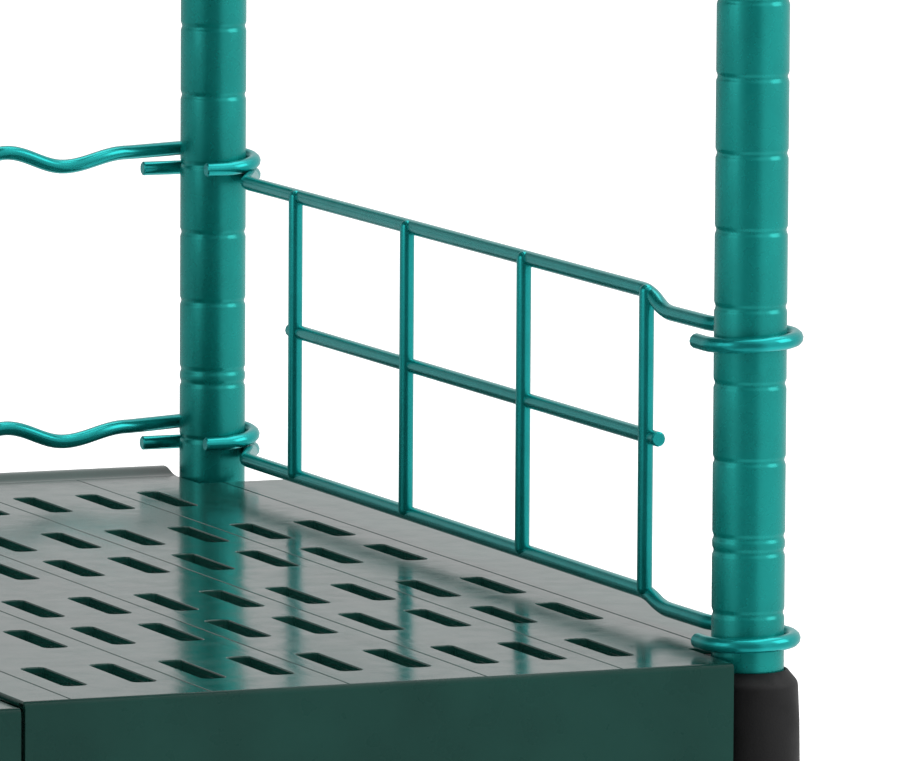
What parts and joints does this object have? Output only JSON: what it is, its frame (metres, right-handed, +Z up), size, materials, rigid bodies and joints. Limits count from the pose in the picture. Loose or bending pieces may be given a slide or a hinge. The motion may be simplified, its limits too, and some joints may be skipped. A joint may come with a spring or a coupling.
{
  "type": "plant trolley",
  "caption": "Two-deck plant trolley with grooved teal posts, slotted lift-out trays, wire side guards, wavy back rails and swivel casters with brakes.",
  "frame": {"origin": "on the floor, at the centre of the whole trolley's outline", "axes": "+Z up, -Y towards the open front, +X to the right of someone who faces the open front"},
  "size_m": [0.5728, 0.602, 0.957],
  "materials": {
    "teal_epoxy": "gloss epoxy coat",
    "green_polymer": "glossy on top, fine satin grain on the skirts",
    "green_sheet": "matte powder coat",
    "black_polymer": "moulded satin black",
    "zinc_steel": "zinc plate",
    "grey_hub": "moulded nylon",
    "dark_tyre": "solid thermoplastic rubber",
    "green_pedal": "moulded polymer"
  },
  "bodies": {
    "chassis": {"post_front_left": "teal_epoxy", "post_cap_front_left": "black_polymer", "post_front_right": "teal_epoxy", "post_cap_front_right": "black_polymer", "post_rear_left": "teal_epoxy", "post_cap_rear_left": "black_polymer", "post_rear_right": "teal_epoxy", "post_cap_rear_right": "black_polymer", "base_frame_front": "green_sheet", "base_corner_block_front_left": "black_polymer", "base_corner_block_front_right": "black_polymer", "base_frame_rear": "green_sheet", "base_corner_block_rear_left": "black_polymer", "base_corner_block_rear_right": "black_polymer", "base_frame_left": "green_sheet", "base_tray_left": "green_polymer", "base_guard_left": "teal_epoxy", "base_frame_right": "green_sheet", "base_tray_right": "green_polymer", "base_guard_right": "teal_epoxy", "base_back_rail_lower": "teal_epoxy", "base_back_rail_upper": "teal_epoxy", "upper_frame_front": "green_sheet", "upper_corner_block_front_left": "black_polymer", "upper_corner_block_front_right": "black_polymer", "upper_frame_rear": "green_sheet", "upper_corner_block_rear_left": "black_polymer", "upper_corner_block_rear_right": "black_polymer", "upper_frame_left": "green_sheet", "upper_tray_left": "green_polymer", "upper_guard_left": "teal_epoxy", "upper_frame_right": "green_sheet", "upper_tray_right": "green_polymer", "upper_guard_right": "teal_epoxy", "upper_back_rail_lower": "teal_epoxy", "upper_back_rail_upper": "teal_epoxy", "caster_stem_front_left": "zinc_steel", "caster_stem_front_right": "zinc_steel", "caster_stem_rear_left": "zinc_steel", "caster_stem_rear_right": "zinc_steel"},
    "fork_front_left": {"caster_fork_front_left": "zinc_steel", "axle_front_left": "zinc_steel"},
    "wheel_front_left": {"wheel_front_left": "grey_hub", "tyre_front_left": "dark_tyre"},
    "fork_front_right": {"caster_fork_front_right": "zinc_steel", "axle_front_right": "zinc_steel"},
    "wheel_front_right": {"wheel_front_right": "grey_hub", "tyre_front_right": "dark_tyre"},
    "fork_rear_left": {"caster_fork_rear_left": "zinc_steel", "axle_rear_left": "zinc_steel"},
    "wheel_rear_left": {"wheel_rear_left": "grey_hub", "tyre_rear_left": "dark_tyre"},
    "pedal_left": {"brake_pedal_left": "green_pedal"},
    "fork_rear_right": {"caster_fork_rear_right": "zinc_steel", "axle_rear_right": "zinc_steel"},
    "wheel_rear_right": {"wheel_rear_right": "grey_hub", "tyre_rear_right": "dark_tyre"},
    "pedal_right": {"brake_pedal_right": "green_pedal"}
  },
  "joints": [
    {"name": "swivel_front_left", "type": "hinge", "parent": "chassis", "child": "fork_front_left", "pos_m": [-0.262, -0.279, 0.113], "axis": [0, 0, 1], "continuous": true},
    {"name": "roll_front_left", "type": "hinge", "parent": "fork_front_left", "child": "wheel_front_left", "pos_m": [-0.262, -0.251, 0.05], "axis": [1, 0, 0], "continuous": true},
    {"name": "swivel_front_right", "type": "hinge", "parent": "chassis", "child": "fork_front_right", "pos_m": [0.262, -0.279, 0.113], "axis": [0, 0, 1], "continuous": true},
    {"name": "roll_front_right", "type": "hinge", "parent": "fork_front_right", "child": "wheel_front_right", "pos_m": [0.262, -0.251, 0.05], "axis": [1, 0, 0], "continuous": true},
    {"name": "swivel_rear_left", "type": "hinge", "parent": "chassis", "child": "fork_rear_left", "pos_m": [-0.262, 0.209, 0.113], "axis": [0, 0, 1], "continuous": true},
    {"name": "roll_rear_left", "type": "hinge", "parent": "fork_rear_left", "child": "wheel_rear_left", "pos_m": [-0.262, 0.237, 0.05], "axis": [1, 0, 0], "continuous": true},
    {"name": "brake_left", "type": "hinge", "parent": "fork_rear_left", "child": "pedal_left", "pos_m": [-0.262, 0.253, 0.106], "axis": [-1, 0, 0], "range_deg": [0, 15]},
    {"name": "swivel_rear_right", "type": "hinge", "parent": "chassis", "child": "fork_rear_right", "pos_m": [0.262, 0.209, 0.113], "axis": [0, 0, 1], "continuous": true},
    {"name": "roll_rear_right", "type": "hinge", "parent": "fork_rear_right", "child": "wheel_rear_right", "pos_m": [0.262, 0.237, 0.05], "axis": [1, 0, 0], "continuous": true},
    {"name": "brake_right", "type": "hinge", "parent": "fork_rear_right", "child": "pedal_right", "pos_m": [0.262, 0.253, 0.106], "axis": [-1, 0, 0], "range_deg": [0, 15]}
  ]
}
